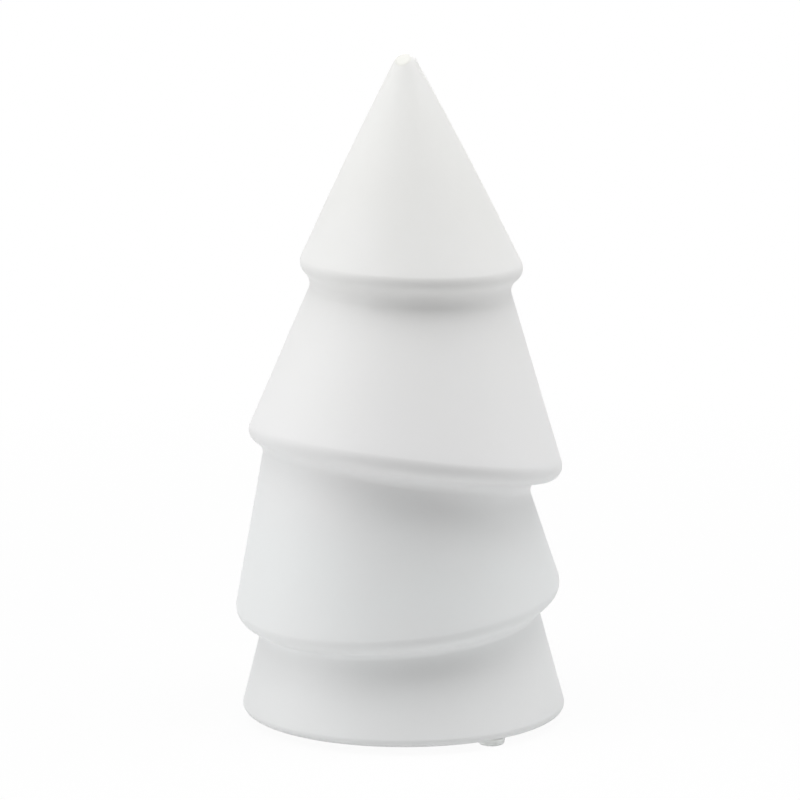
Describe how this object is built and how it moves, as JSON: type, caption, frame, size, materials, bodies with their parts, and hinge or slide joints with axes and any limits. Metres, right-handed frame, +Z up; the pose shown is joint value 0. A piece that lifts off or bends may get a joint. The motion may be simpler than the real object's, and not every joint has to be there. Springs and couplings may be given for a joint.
{
  "type": "ceramic christmas tree",
  "caption": "Hollow white ceramic Christmas tree with leaning, overlapping tiers, free-standing on small clear bumper feet, for tabletop decoration.",
  "frame": {"origin": "centre of the footprint box, on the surface that the feet stand on", "axes": "+Z up along the tree, -Y towards the front as pictured, +X to the right"},
  "size_m": [0.0996, 0.0978, 0.2003],
  "materials": {
    "matt_ceramic": "matt white, smooth as cast and sponged, with a fine bisque grain",
    "clear_bumper": "clear soft polyurethane with a slight sheen"
  },
  "bodies": {
    "root": {"tree_shell": "matt_ceramic", "foot_front_right": "clear_bumper", "foot_back": "clear_bumper", "foot_left": "clear_bumper"}
  },
  "joints": []
}
